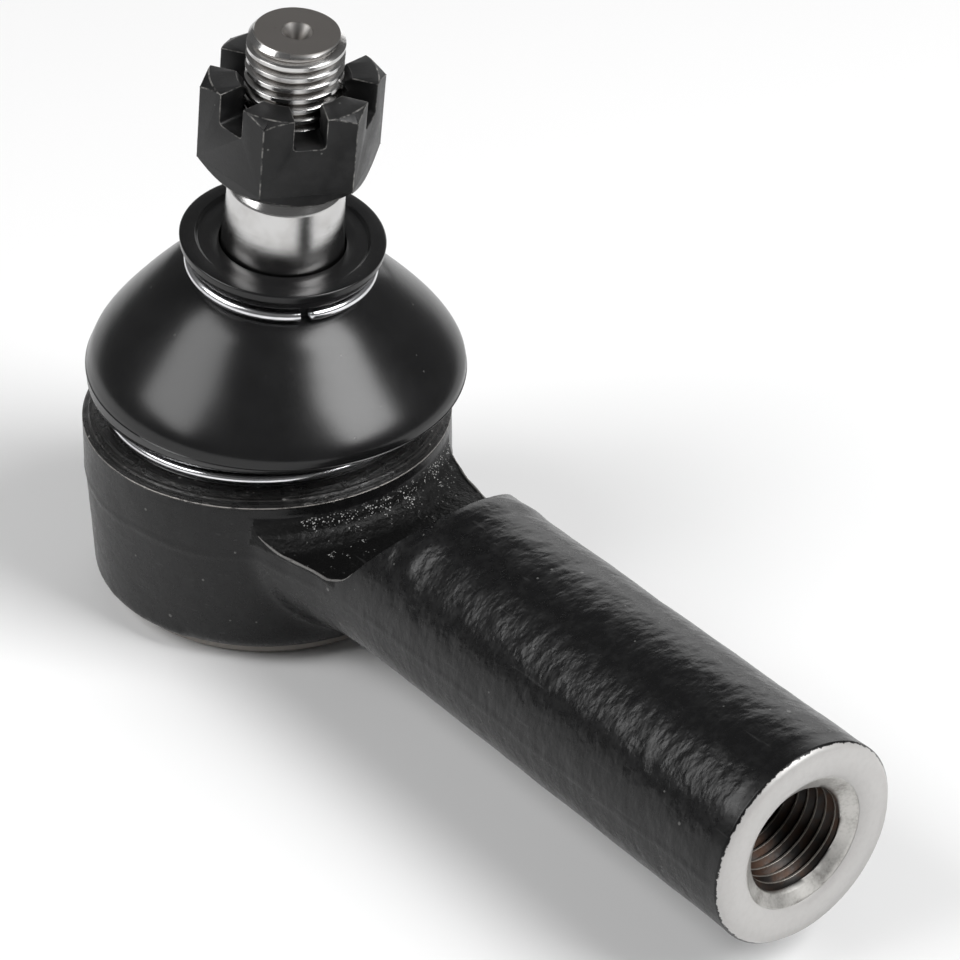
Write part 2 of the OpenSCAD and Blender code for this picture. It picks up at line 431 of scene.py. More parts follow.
# lathe marks: fine rings round the Z axis of the piece's own space
turnedGroup, gIn, gOut = makeGroup("turnedMarks",
    [("Position", "NodeSocketVector", None), ("Rings", "NodeSocketFloat", 3000.0),
    ("Waver", "NodeSocketFloat", 0.3)], [("Height", "NodeSocketFloat")])
stretch = addNode(turnedGroup, "ShaderNodeVectorMath", operation="LENGTH")
flatPos = addNode(turnedGroup, "ShaderNodeVectorMath", operation="MULTIPLY")
flatPos.inputs[1].default_value = (1, 1, 0)
joinUp(turnedGroup, gIn.outputs["Position"], flatPos.inputs[0])
joinUp(turnedGroup, flatPos.outputs[0], stretch.inputs[0])
axes = axesOf(turnedGroup, gIn.outputs["Position"])
ringPos = mathNode(turnedGroup, "ADD", stretch.outputs["Value"], times(turnedGroup, axes[2], 0.7))
ringTex = addNode(turnedGroup, "ShaderNodeTexNoise", noise_dimensions="1D", Detail=3.0, Roughness=0.7)
joinUp(turnedGroup, times(turnedGroup, ringPos, gIn.outputs["Rings"]), ringTex.inputs["W"])
waverTex = addNode(turnedGroup, "ShaderNodeTexNoise", Scale=400.0, Detail=2.0)
joinUp(turnedGroup, gIn.outputs["Position"], waverTex.inputs["Vector"])
joinUp(turnedGroup, mixValue(turnedGroup, gIn.outputs["Waver"], ringTex.outputs[0], waverTex.outputs[0]),
    gOut.inputs["Height"])


def objectSpace(tree, turn=None):
    c = tree.nodes.new("ShaderNodeTexCoord")
    if turn is None:
        return c.outputs["Object"]
    m = addNode(tree, "ShaderNodeMapping", vector_type="TEXTURE")
    m.inputs["Rotation"].default_value = turn
    tree.links.new(c.outputs["Object"], m.inputs["Vector"])
    return m.outputs["Vector"]


def grainOn(tree, pos, coarse, fine, balance):
    return useGroup(tree, grainGroup, Position=pos, Coarse=coarse, Fine=fine, Balance=balance).outputs


def dustOn(tree, pos, spacing, amount, size):
    return useGroup(tree, dustGroup, Position=pos, Spacing=spacing, Amount=amount, Size=size).outputs[0]


# materials

# scallopShade is a darker black painted into the recessed scallop as shade
forgePaint = {"colour": (0.0052, 0.0052, 0.0055), "dusty": (0.009, 0.009, 0.0092), "scallopShade": (0.0015, 0.0015, 0.0015),
              "bareSteel": (0.50, 0.49, 0.48), "lipSteel": (0.27, 0.25, 0.23), "ridgeHighlightGrey": (0.34, 0.33, 0.32)}


def pointMask(tree, name):
    return addNode(tree, "ShaderNodeAttribute", attribute_name=name).outputs["Fac"]


def noiseAt(tree, pos, scale, detail=3.0, rough=0.6, stretch=None):
    n = addNode(tree, "ShaderNodeTexNoise", Scale=scale, Detail=detail, Roughness=rough)
    if stretch:
        m = addNode(tree, "ShaderNodeVectorMath", operation="MULTIPLY")
        m.inputs[1].default_value = stretch
        joinUp(tree, pos, m.inputs[0])
        pos = m.outputs[0]
    joinUp(tree, pos, n.inputs["Vector"])
    return n.outputs[0]


def makeForgePaint():
    mat, tree, shader = newMaterial("blackForgingPaint")
    pos = objectSpace(tree)
    height, cloud = grainOn(tree, pos, 900.0, 3400.0, 0.4)
    scallop, shank, bare, ridgeHighlight = (pointMask(tree, n) for n in ("scallop", "shank", "bare", "ridgeHighlight"))
    wander = noiseAt(tree, pos, 1500.0, 4.0, 0.65)
    wanderOff = mathNode(tree, "SUBTRACT", wander, 0.5)
    # ragged border between paint and machined steel
    bareMask = ramp(tree, mathNode(tree, "ADD", bare, times(tree, wanderOff, 0.7)), 0.46, 0.54)
    axes = axesOf(tree, pos)
    lipMask = ramp(tree, axes[2], -0.0130, -0.0135)
    # dust everywhere, and pale grit specks in patches of the rough scallop, painted in as glints
    specks = dustOn(tree, pos, 1000.0, 0.14, 0.22)
    gritGlintDots = dustOn(tree, pos, 5600.0, 0.5, 0.55)
    # painted highlight: the glint patches lean to the upper, front part of the scallop, where the light falls
    high = times(tree, ramp(tree, axes[2], 0.0010, 0.0038, 0.0, 0.30), ramp(tree, axes[1], -0.0125, -0.004, 0.0, 1.0))
    patches = ramp(tree, mathNode(tree, "ADD", noiseAt(tree, pos, 420.0, 3.0, 0.75), high), 0.58, 0.70)
    gritAndPaintedGlints = times(tree, times(tree, gritGlintDots, patches), scallop)
    hairline = ramp(tree, noiseAt(tree, pos, 1100.0, 2.0, 0.5, (0.12, 1.0, 2.6)), 0.68, 0.72)
    # painted highlight: a lighter line along the sharp scallop edge and over the trim burr
    ridgeHighlightMask = ramp(tree, times(tree, ridgeHighlight, mathNode(tree, "ADD", wander, 0.12)), 0.34, 0.6)
    paint = mixColour(tree, ramp(tree, cloud, 0.45, 0.75), forgePaint["colour"], forgePaint["dusty"])
    # painted shade: the recessed scallop gets the darker black
    paint = mixColour(tree, scallop, paint, forgePaint["scallopShade"])
    paint = mixColour(tree, times(tree, hairline, 0.06), paint, (0.2, 0.2, 0.2))
    # pale grit specks that stand as painted glints
    paint = mixColour(tree, times(tree, gritAndPaintedGlints, 0.85), paint, (0.62, 0.62, 0.61))
    paint = mixColour(tree, times(tree, specks, 0.3), paint, (0.3, 0.3, 0.29))
    paint = mixColour(tree, times(tree, ridgeHighlightMask, 0.42), paint, forgePaint["ridgeHighlightGrey"])
    steel = mixColour(tree, lipMask, forgePaint["bareSteel"], forgePaint["lipSteel"])
    steel = mixColour(tree, ramp(tree, wander, 0.4, 0.7, 0.0, 0.10), steel, (0.3, 0.29, 0.28))
    joinUp(tree, mixColour(tree, bareMask, paint, steel), shader.inputs["Base Color"])
    joinUp(tree, times(tree, bareMask, 0.35), shader.inputs["Metallic"])
    gloss = ramp(tree, height, 0.3, 0.7, 0.24, 0.34)
    joinUp(tree, mixValue(tree, bareMask, mixValue(tree, scallop, gloss, 0.5), 0.45), shader.inputs["Roughness"])
    # forge skin: fine ripples across the shank, coarse grit in the scallop
    ripples = noiseAt(tree, pos, 640.0, 3.0, 0.5, (1.25, 0.75, 0.75))
    grit = noiseAt(tree, pos, 1500.0, 3.0, 0.65)
    waves = bumpFrom(tree, shader, noiseAt(tree, pos, 240.0, 3.0, 0.55), 0.3, 0.5)
    first = bumpFrom(tree, shader, height, 0.022, 0.5, waves)
    second = bumpFrom(tree, shader, times(tree, ripples, shank), 0.26, 0.6, first)
    bumpFrom(tree, shader, times(tree, grit, scallop), 0.2, 0.9, second)
    joinUp(tree, mixValue(tree, scallop, 0.3, 0.24), shader.inputs["Specular IOR Level"])
    return mat


def makeTurnedPaint():
    # thin black paint over the machined top of the head, with its tool rings showing
    mat, tree, shader = newMaterial("paintedTurning")
    pos = objectSpace(tree)
    rings = useGroup(tree, turnedGroup, Position=pos, Rings=3000.0, Waver=0.12)
    height, cloud = grainOn(tree, pos, 700.0, 3200.0, 0.5)
    wander = noiseAt(tree, pos, 700.0, 4.0, 0.7)
    wornMask = ramp(tree, times(tree, pointMask(tree, "worn"), mathNode(tree, "ADD", wander, 0.2)), 0.46, 0.7)
    # short streaks that follow the turning; where they peak they are also painted lighter as glints
    axes = axesOf(tree, pos)
    x, y = axes[0], axes[1]
    around = addNode(tree, "ShaderNodeCombineXYZ")
    joinUp(tree, times(tree, mathNode(tree, "ARCTAN2", y, x), 9.0), around.inputs[0])
    squares = mathNode(tree, "ADD", times(tree, x, x), times(tree, y, y))
    joinUp(tree, times(tree, mathNode(tree, "SQRT", squares), 2600.0), around.inputs[1])
    streaks = noiseAt(tree, around.outputs[0], 1.0, 3.0, 0.6)
    base = mixColour(tree, ramp(tree, rings.outputs[0], 0.5, 0.72), (0.006, 0.006, 0.006), (0.05, 0.047, 0.045))
    specks = dustOn(tree, pos, 2000.0, 0.16, 0.4)
    patches = ramp(tree, wander, 0.48, 0.66)
    base = mixColour(tree, times(tree, times(tree, specks, patches), 0.7), base, (0.5, 0.49, 0.47))
    # painted highlight: light glints where the streaks peak
    paintedTurningGlints = times(tree, ramp(tree, streaks, 0.6, 0.7), ramp(tree, wander, 0.44, 0.6))
    base = mixColour(tree, times(tree, paintedTurningGlints, 0.45), base, (0.3, 0.29, 0.28))
    joinUp(tree, mixColour(tree, times(tree, wornMask, 0.8), base, (0.4, 0.38, 0.36)), shader.inputs["Base Color"])
    joinUp(tree, times(tree, wornMask, 0.7), shader.inputs["Metallic"])
    joinUp(tree, ramp(tree, cloud, 0.3, 0.7, 0.24, 0.38), shader.inputs["Roughness"])
    first = bumpFrom(tree, shader, streaks, 0.25, 0.8, bumpFrom(tree, shader, rings.outputs[0], 0.09, 0.9))
    shader.inputs["Specular IOR Level"].default_value = 0.35
    bumpFrom(tree, shader, height, 0.06, 0.5, first)
    return mat


def makeBootRubber():
    mat, tree, shader = newMaterial("mouldedBootRubber")
    pos = objectSpace(tree)
    height, cloud = grainOn(tree, pos, 160.0, 5200.0, 0.75)
    specks = dustOn(tree, pos, 900.0, 0.3, 0.13)
    base = mixColour(tree, ramp(tree, cloud, 0.35, 0.7), (0.0065, 0.0065, 0.0068), (0.010, 0.010, 0.0104))
    base = mixColour(tree, times(tree, specks, 0.22), base, (0.25, 0.25, 0.24))
    joinUp(tree, base, shader.inputs["Base Color"])
    joinUp(tree, ramp(tree, height, 0.3, 0.7, 0.21, 0.26), shader.inputs["Roughness"])
    bumpFrom(tree, shader, height, 0.010, 0.5)
    shader.inputs["Specular IOR Level"].default_value = 0.4
    return mat


def makeSteel(name, light, dark, rough, rings=3000.0, ringBump=0.02, metal=1.0):
    mat, tree, shader = newMaterial(name)
    pos = objectSpace(tree)
    marks = useGroup(tree, turnedGroup, Position=pos, Rings=rings, Waver=0.2)
    height, cloud = grainOn(tree, pos, 260.0, 4000.0, 0.25)
    base = mixColour(tree, ramp(tree, cloud, 0.35, 0.7), light, dark)
    joinUp(tree, base, shader.inputs["Base Color"])
    joinUp(tree, ramp(tree, height, 0.3, 0.7, rough - 0.05, rough + 0.09), shader.inputs["Roughness"])
    bumpFrom(tree, shader, marks.outputs[0], ringBump, 0.6)
    shader.inputs["Metallic"].default_value = metal
    return mat


def makeStudSteel():
    # bright rolled and ground steel; the end face is a duller grey and the thread darker and browner towards its
    # roots
    mat, tree, shader = newMaterial("groundStudSteel")
    pos = objectSpace(tree, (0, restLean, 0))
    marks = useGroup(tree, turnedGroup, Position=pos, Rings=6500.0, Waver=0.1)
    height, cloud = grainOn(tree, pos, 380.0, 5200.0, 0.3)
    face, towardsRoot = pointMask(tree, "endFace"), pointMask(tree, "root")
    base = mixColour(tree, ramp(tree, cloud, 0.4, 0.72), (0.60, 0.595, 0.59), (0.52, 0.51, 0.50))
    # darker and browner towards the thread roots
    base = mixColour(tree, times(tree, towardsRoot, 0.6), base, (0.24, 0.22, 0.2))
    base = mixColour(tree, face, base, (0.18, 0.168, 0.157))
    specks = dustOn(tree, pos, 1300.0, 0.08, 0.2)
    base = mixColour(tree, times(tree, specks, 0.3), base, (0.12, 0.11, 0.1))
    joinUp(tree, base, shader.inputs["Base Color"])
    plain = ramp(tree, height, 0.3, 0.7, 0.14, 0.24)
    joinUp(tree, mixValue(tree, face, plain, 0.5), shader.inputs["Roughness"])
    shader.inputs["Metallic"].default_value = 1.0
    first = bumpFrom(tree, shader, marks.outputs[0], 0.012, 0.5)
    bumpFrom(tree, shader, height, 0.012, 0.5, first)
    return mat


def makeNutBlack():
    mat, tree, shader = newMaterial("blackNutFinish")
    pos = objectSpace(tree)
    height, cloud = grainOn(tree, pos, 500.0, 3600.0, 0.45)
    wander = noiseAt(tree, pos, 800.0, 4.0, 0.7)
    mask = ramp(tree, times(tree, pointMask(tree, "worn"), wander), 0.4, 0.66)
    base = mixColour(tree, ramp(tree, cloud, 0.4, 0.7), (0.007, 0.007, 0.0073), (0.013, 0.013, 0.0134))
    specks = dustOn(tree, pos, 1000.0, 0.14, 0.2)
    base = mixColour(tree, times(tree, specks, 0.3), base, (0.3, 0.3, 0.29))
    joinUp(tree, mixColour(tree, times(tree, mask, 0.5), base, (0.42, 0.41, 0.39)), shader.inputs["Base Color"])
    joinUp(tree, times(tree, mask, 0.35), shader.inputs["Metallic"])
    joinUp(tree, ramp(tree, height, 0.3, 0.7, 0.36, 0.48), shader.inputs["Roughness"])
    bumpFrom(tree, shader, height, 0.03, 0.6)
    shader.inputs["Specular IOR Level"].default_value = 0.32
    return mat


def makeBoreSteel():
    # cut thread: dark and a little rusty inside, with a painted highlight along the crests, clean on the countersink
    mat, tree, shader = newMaterial("cutThreadSteel")
    pos = objectSpace(tree)
    height, cloud = grainOn(tree, pos, 420.0, 3600.0, 0.3)
    cone = pointMask(tree, "cone")
    rustAndCrestHighlight = mixColour(tree, ramp(tree, cloud, 0.4, 0.66), (0.018, 0.0165, 0.0155), (0.034, 0.018, 0.011))
    # painted highlight: the thread crests are painted light
    rustAndCrestHighlight = mixColour(tree, pointMask(tree, "crest"), rustAndCrestHighlight, (0.46, 0.43, 0.39))
    clean = mixColour(tree, ramp(tree, height, 0.4, 0.7), (0.50, 0.49, 0.47), (0.26, 0.25, 0.235))
    joinUp(tree, mixColour(tree, cone, rustAndCrestHighlight, clean), shader.inputs["Base Color"])
    joinUp(tree, mixValue(tree, cone, 0.8, 0.95), shader.inputs["Metallic"])
    joinUp(tree, mixValue(tree, cone, ramp(tree, height, 0.3, 0.7, 0.3, 0.5), 0.42), shader.inputs["Roughness"])
    bumpFrom(tree, shader, height, 0.045, 0.8)
    return mat


def makePlastic():
    mat, tree, shader = newMaterial("greasedBearingPlastic")
    pos = objectSpace(tree)
    height, cloud = grainOn(tree, pos, 240.0, 3000.0, 0.3)
    joinUp(tree, mixColour(tree, ramp(tree, cloud, 0.4, 0.7), (0.8, 0.79, 0.74), (0.66, 0.6, 0.44)),
        shader.inputs["Base Color"])
    joinUp(tree, ramp(tree, cloud, 0.4, 0.7, 0.45, 0.18), shader.inputs["Roughness"])
    bumpFrom(tree, shader, height, 0.02, 0.5)
    return mat


forgePaintMat, turnedPaintMat, rubberMat = makeForgePaint(), makeTurnedPaint(), makeBootRubber()
studMat, nutMat, plasticMat = makeStudSteel(), makeNutBlack(), makePlastic()
wireMat = makeSteel("brightZincWire", (0.82, 0.82, 0.84), (0.66, 0.66, 0.68), 0.17, ringBump=0.006)
coverMat = makeSteel("bareCoverSteel", (0.42, 0.4, 0.38), (0.3, 0.28, 0.26), 0.4, rings=900.0, metal=0.85)
springMat = makeSteel("oiledSpringSteel", (0.34, 0.34, 0.36), (0.2, 0.19, 0.19), 0.3, rings=900.0)
boreMat = makeBoreSteel()
print("materials ready")


# housing: forged head, neck and shank

housing = {"headTop": 19.85, "headBottom": 19.4, "topZ": 4.85, "bottomZ": -13.85, "shankR": 10.82, "end": 86.5,
           "voxel": 0.36, "boreR": 7.06, "boreLow": 52.5, "coneR": 7.62, "coneDepth": 1.62, "threadPitch": 1.25,
           "threadCrest": 5.32, "threadRoot": 6.0}


def ridgeNear(value, width):
    return math.exp(-(value / width) ** 2)


def makeForging():
    h = housing
    wall = roundCorners([(0, h["bottomZ"]), (18.45, h["bottomZ"]), (h["headBottom"], h["bottomZ"] + 0.95),
        (h["headTop"] + 0.08, 0), (h["headTop"], h["topZ"] + 1.2), (0, h["topZ"] + 1.2)], {1: 0.4, 2: 0.5}, 4)
    body = asObject(lathe(wall, 180), "forgedHousing")
    rod = roundCorners([(0, 0), (13.5, 0), (12.85, 16.5), (11.9, 20), (11.1, 24), (h["shankR"], 29),
        (h["shankR"], h["end"] + 3), (0, h["end"] + 3)], {2: 8, 3: 8, 4: 8}, 6)
    carve(body, lathe(rod, 160, "X"), "UNION")
    m = body.modifiers.new("skin", "REMESH")
    m.mode, m.voxel_size = "VOXEL", h["voxel"]
    applied(body)
    bm = openMesh(body)
    # soften where the neck leaves the head
    for k in range(34):
        near = [v for v in bm.verts if v.co.x > 8 and abs(fromZ(v.co) - 20.2) < 3.2 - 0.06 * k and abs(v.co.z) < 14]
        soften(bm, near, 0.5)
    soften(bm, bm.verts, 0.5)
    bm.normal_update()
    for v in bm.verts:
        p = v.co.copy()
        round2 = fromX(p)
        onShank = smoothStep(p.x, 26, 32) * (1 - smoothStep(p.x, 84.2, 86.2))
        move = 0.05 * lump(p, 9, 3.1)
        # hammer dents, longer across the shank than along it
        dent = noise.noise(Vector((p.x / 2.3, p.y / 3.6, p.z / 4.2)))
        dent += 0.55 * noise.noise(Vector((p.x / 1.2, p.y / 1.9 + 7, p.z / 2.2)))
        upper = 0.45 + 0.55 * smoothStep(p.z - 0.5 * p.y, -6, 6)
        move += onShank * upper * (0.035 * dent + 0.05 * lump(p, 6, 9.3)) - 0.05 * onShank
        # flash line where the forging dies met
        if p.x > 26:
            move += 0.09 * ridgeNear(p.z - 0.4 * lump(p, 12, 1.7), 0.35) * onShank
        elif fromZ(p) > 17:
            move += 0.10 * ridgeNear(p.z + 1.2 - 0.7 * lump(p, 11, 5.2), 0.32)
        # raised start of the round shank
        move += 0.22 * smoothStep(p.z, 3, 9) * ridgeNear(p.x - 36.2, 1.5)
        if p.x > 84.5 and round2 > 9:
            move *= 1 - smoothStep(p.x, 84.5, 86.0)
        v.co += v.normal * move
    closeMesh(bm, body)
    # machining: head top faced off, shank end faced and countersunk, scallop, socket and thread bore
    carve(body, lathe([(0, h["topZ"]), (19.99, h["topZ"]), (19.99, 30), (0, 30)], 160))
    scallop = roundCorners([(19.88, 22), (19.88, 3.9), (20.5, 1.9), (22.6, 1.0), (28.2, 1.2), (30.4, 2.4),
        (35.3, 10.9), (36.4, 22)], {1: 1.2, 2: 1.2, 3: 2.4, 4: 2.2, 5: 1.6, 6: 2}, 5)
    carve(body, lathe(fineLine(scallop, 0.8), 220, closed=True))
    carve(body, lathe([(0, h["bottomZ"] - 4), (17.3, h["bottomZ"] - 4), (17.3, h["bottomZ"] + 0.6),
        (15.55, h["bottomZ"] + 0.6), (15.55, 30), (0, 30)], 160))
    end = h["end"]
    cutEnd = [(0, h["boreLow"]), (h["boreR"], h["boreLow"]), (h["boreR"], end - 0.4), (h["coneR"], end),
        (h["shankR"] - 0.55, end), (h["shankR"] + 0.3, end - 0.85), (14, end - 0.85), (14, end + 6), (0, end + 6)]
    carve(body, lathe(cutEnd, 160, "X"))
    facesOut(body)
    # soften the cut edges as paint does, and note which faces are painted, gritty or bare
    bm = openMesh(body)
    sharp = {v for e in bm.edges if len(e.link_faces) == 2 and e.calc_face_angle(0) > 0.5 and e.verts[0].co.x > 14
        and e.verts[0].co.x < 80 for v in e.verts
             if fromZ(v.co) > 20.4 and v.co.z > 0.4 and fromX(v.co) > 10.3}
    trimmed = [v.co.copy() for v in sharp if v.co.x < 29.5 and abs(v.co.y) > 8]
    soften(bm, list(sharp), 0.35)
    layers = {n: bm.verts.layers.float.new(n) for n in ("scallop", "shank", "bare", "ridgeHighlight")}
    for v in bm.verts:
        p = v.co
        fromAxis, round2 = fromZ(p), fromX(p)
        gritty = p.z > 0.7 and p.x > 12 and 20.1 < fromAxis < 36.5 and not (p.x > 27 and round2 > 10.5)
        if gritty:
            v.co += Vector((0.05 * lump(p, 1.1, 2.2, 4), 0, 0.10 * lump(p, 1.3, 4.4, 4)))
        v[layers["scallop"]] = 1.0 if gritty else 0.0
        # sharp scallop edges are marked for the painted highlight line
        v[layers["ridgeHighlight"]] = 1.0 if v in sharp else 0.0
        v[layers["shank"]] = smoothStep(p.x, 27,
            33) * (1 - smoothStep(p.x, 83.5, 85.3)) * (0.4 + 0.6 * smoothStep(p.z - 0.5 * p.y, -6, 6))
        v[layers["bare"]] = smoothStep(p.x, end - 0.75, end - 0.2)
    closeMesh(bm, body)
    finishPiece(body, "rod_end", forgePaintMat, "housing", 50)
    makeTrimBurr("trimBurrRight", [p for p in trimmed if p.y < 0])
    makeTrimBurr("trimBurrLeft", [p for p in trimmed if p.y > 0])


def markAll(obj, values):
    for name, value in values.items():
        layer = obj.data.attributes.new(name, "FLOAT", "POINT")
        for v in obj.data.vertices:
            layer.data[v.index].value = value


def makeTrimBurr(name, points):
    # thin raised line left along the scallop where the forging was trimmed
    near = {}
    for p in points:
        near.setdefault(round(p.x / 0.7), []).append(p)
    path = [sum(ps, Vector()) / len(ps) for k, ps in sorted(near.items())]
    last = len(path) - 1
    bm = bmesh.new()
    rings = []
    for k, p in enumerate(path):
        way = (path[min(k + 1, last)] - path[max(k - 1, 0)]).normalized()
        across = way.cross(Vector((0, 0, 1))).normalized()
        up = across.cross(way)
        r = 0.04 + 0.11 * smoothStep(k, 0, 4) * smoothStep(last - k, 0, 4) * (1 + 0.5 * lump(p, 1.4, 3.3))
        rings.append([bm.verts.new(p + (across * math.cos(i * math.tau / 8) + up * math.sin(i * math.tau / 8)) * r)
            for i in range(8)])
    for a, b in zip(rings, rings[1:]):
        for i in range(8):
            bm.faces.new((a[i], a[(i + 1) % 8], b[(i + 1) % 8], b[i]))
    bm.faces.new(rings[0])
    bm.faces.new(rings[last])
    faceOutwards(bm)
    obj = asObject(bm, name)
    # the whole burr takes the painted ridge highlight
    markAll(obj, {"bare": 0.0, "scallop": 0.0, "shank": 0.0, "ridgeHighlight": 1.0})
    finishPiece(obj, "rod_end", forgePaintMat, None, 60)


def makeMachinedTop():
    # bevel, shelf, spigot for the boot's lip and the socket's mouth
    outline = roundCorners([(15.6, 4.0), (19.4, 4.0), (19.88, 4.75), (19.88, 4.93), (19.86, 5.01), (19.79, 5.06),
        (18.35, 5.92), (15.62, 5.92), (15.62, 8.05), (15.3, 8.3), (11.82, 8.3), (11.65, 5.0), (15.4, 5.0)],
                           {2: 0.06, 6: 0.15, 8: 0.15, 9: 0.1, 10: 0.3}, 4)
    # shallow steps left by the tool on the bevel
    bevelled = []
    for a, b in zip(outline, outline[1:]):
        bevelled.append(a)
        if a[0] > 18.2 and b[0] > 18.2 and a[1] > 5.05 and math.dist(a, b) > 0.8:
            for k, dip in ((1, 0.0), (2, 0.035), (3, -0.02), (4, 0.04), (5, 0.0)):
                t = k / 6
                bevelled.append((a[0] + (b[0] - a[0]) * t - dip, a[1] + (b[1] - a[1]) * t - dip))
    bevelled.append(outline[-1])
    obj = asObject(lathe(bevelled, 220, closed=True), "machinedHeadTop")
    layer = obj.data.attributes.new("worn", "FLOAT", "POINT")
    for v in obj.data.vertices:
        layer.data[v.index].value = 1.0 if 4.9 < v.co.z < 5.04 and fromZ(v.co) > 19.8 else 0.0
        # the trued edge wanders a little where the forging is uneven
        v.co.z += 0.04 * lump(v.co, 7, 6.6) * smoothStep(fromZ(v.co), 18.6, 19.5)
    return finishPiece(obj, "rod_end", turnedPaintMat, None, 30)


def makeRolledLip():
    # bare ring turned under the head, rolled in over the cover
    outline = roundCorners([(16.74, -12.3), (16.74, -15.02), (15.3, -15.02), (15.4, -15.34), (16.9, -15.39),
        (17.38, -14.95), (17.38, -12.3)], {2: 0.05, 4: 0.3, 5: 0.25}, 4)
    obj = asObject(lathe(outline, 200, closed=True), "rolledLip")
    markAll(obj, {"bare": 1.0, "scallop": 0.0, "shank": 0.0, "ridgeHighlight": 0.0})
    for v in obj.data.vertices:
        if v.co.z < -15.1:      # the roller leaves slight waves in the lip
            v.co.z += 0.03 * math.sin(9 * math.atan2(v.co.y, v.co.x)) * smoothStep(17.4 - fromZ(v.co), 0.3, 1.6)
    return finishPiece(obj, "rod_end", forgePaintMat, None, 40)


def makeShankThread():
    h = housing
    end, coneR, coneDepth = h["end"], h["coneR"], h["coneDepth"]
    pitch, crest, root = h["threadPitch"], h["threadCrest"], h["threadRoot"]
    bm = bmesh.new()
    outline = [(root, 0), (root - 0.05, 0.14), (crest + 0.03, 0.5), (crest, 0.54), (crest, 0.71),
        (crest + 0.03, 0.75), (root - 0.05, 1.11), (root, pitch)]
    start, turns, steps = 58.0, 24, 80
    drawLine(bm, [(start + x, 0, r) for r, x in outline])
    bmesh.ops.spin(bm, geom=bm.verts[:] + bm.edges[:], cent=(0, 0, 0), axis=(1, 0, 0), dvec=(pitch / steps, 0, 0),
        angle=math.tau * turns, steps=turns * steps, use_merge=False, use_duplicate=False)
    bmesh.ops.remove_doubles(bm, verts=bm.verts, dist=0.004)
    for x in (end - coneDepth, end - 1.15, end - coneDepth / 2):
        cutAcross(bm, (x, 0, 0), (1, 0, 0))
    # cone marks the countersink; crest marks the thread crests, which the bore material paints light as a highlight
    cone, crestTop = (bm.verts.layers.float.new(n) for n in ("cone", "crest"))
    for v in bm.verts:
        r, deep = fromX(v.co), end - v.co.x
        # the thread fades in below the countersink
        wanted = crest + (r - crest) * smoothStep(deep, coneDepth - 0.5, coneDepth + 0.3)
        funnel = coneR - (coneR - crest) * max(deep, 0.3) / coneDepth
        if funnel >= wanted - 0.001:
            wanted, v[cone] = funnel, 1.0
        elif r < crest + 0.02:
            v[crestTop] = 1.0
        v.co.y *= wanted / r
        v.co.z *= wanted / r
    for x, way in ((end - 0.43, 1), (60, -1)):
        cutAcross(bm, (x, 0, 0), (way, 0, 0), True)
    bmesh.ops.remove_doubles(bm, verts=bm.verts, dist=0.002)
    made = bmesh.ops.extrude_edge_only(bm, edges=openEdges(bm))["geom"]
    for v in [g for g in made if isinstance(g, bmesh.types.BMVert)]:
        r = fromX(v.co)
        v.co.y *= 7.05 / r
        v.co.z *= 7.05 / r
    bmesh.ops.bridge_loops(bm, edges=openEdges(bm))
    faceOutwards(bm)
    finishPiece(asObject(bm, "shankThread"), "rod_end", boreMat, None, 45)
    # the drilled end of the bore behind the thread
    cup = [(0, 48.9), (5.3, 52.1), (7.04, 52.3), (7.04, 60.2), (5.33, 60.2), (5.33, 52.6), (0, 49.3)]
    finishPiece(asObject(lathe(cup, 96, "X"), "drilledBoreEnd"), "rod_end", boreMat, None, 40)


makeForging()
makeMachinedTop()
makeRolledLip()
makeShankThread()


# end cover, pressed with a shallow dish

cover = {"r": 16.7, "top": -13.8, "bottom": -14.99, "dish": 0.3}


def makeEndCover():
    c = cover
    outline = roundCorners([(0, c["top"] - c["dish"]), (7, c["top"] - c["dish"]), (8.2, c["top"]), (c["r"], c["top"]),
        (c["r"], c["bottom"]), (8.6, c["bottom"]), (7.4, c["bottom"] - c["dish"]), (0, c["bottom"] - c["dish"])],
        {1: 1.5, 2: 1.5, 3: 0.2, 4: 0.2, 5: 1.5, 6: 1.5}, 5)
    return finishPiece(asObject(lathe(fineLine(outline, 2.0), 160), "endCoverDisc"), "rod_end",
        coverMat, "end_cover", 40)


makeEndCover()


# ball stud

stud = {"ball": 12.5, "neck": 6.1, "taperSmall": 6.05, "taperTop": 34.9, "threadR": 5.0, "root": 4.24, "pitch": 1.25,
        "threadLow": 36.9, "top": 53.2, "tip": 4.31, "ballBottom": 10.8, "ballEnd": 149, "cotterZ": 47.3,
        "cotterR": 1.3, "cotterTurn": 36.7}


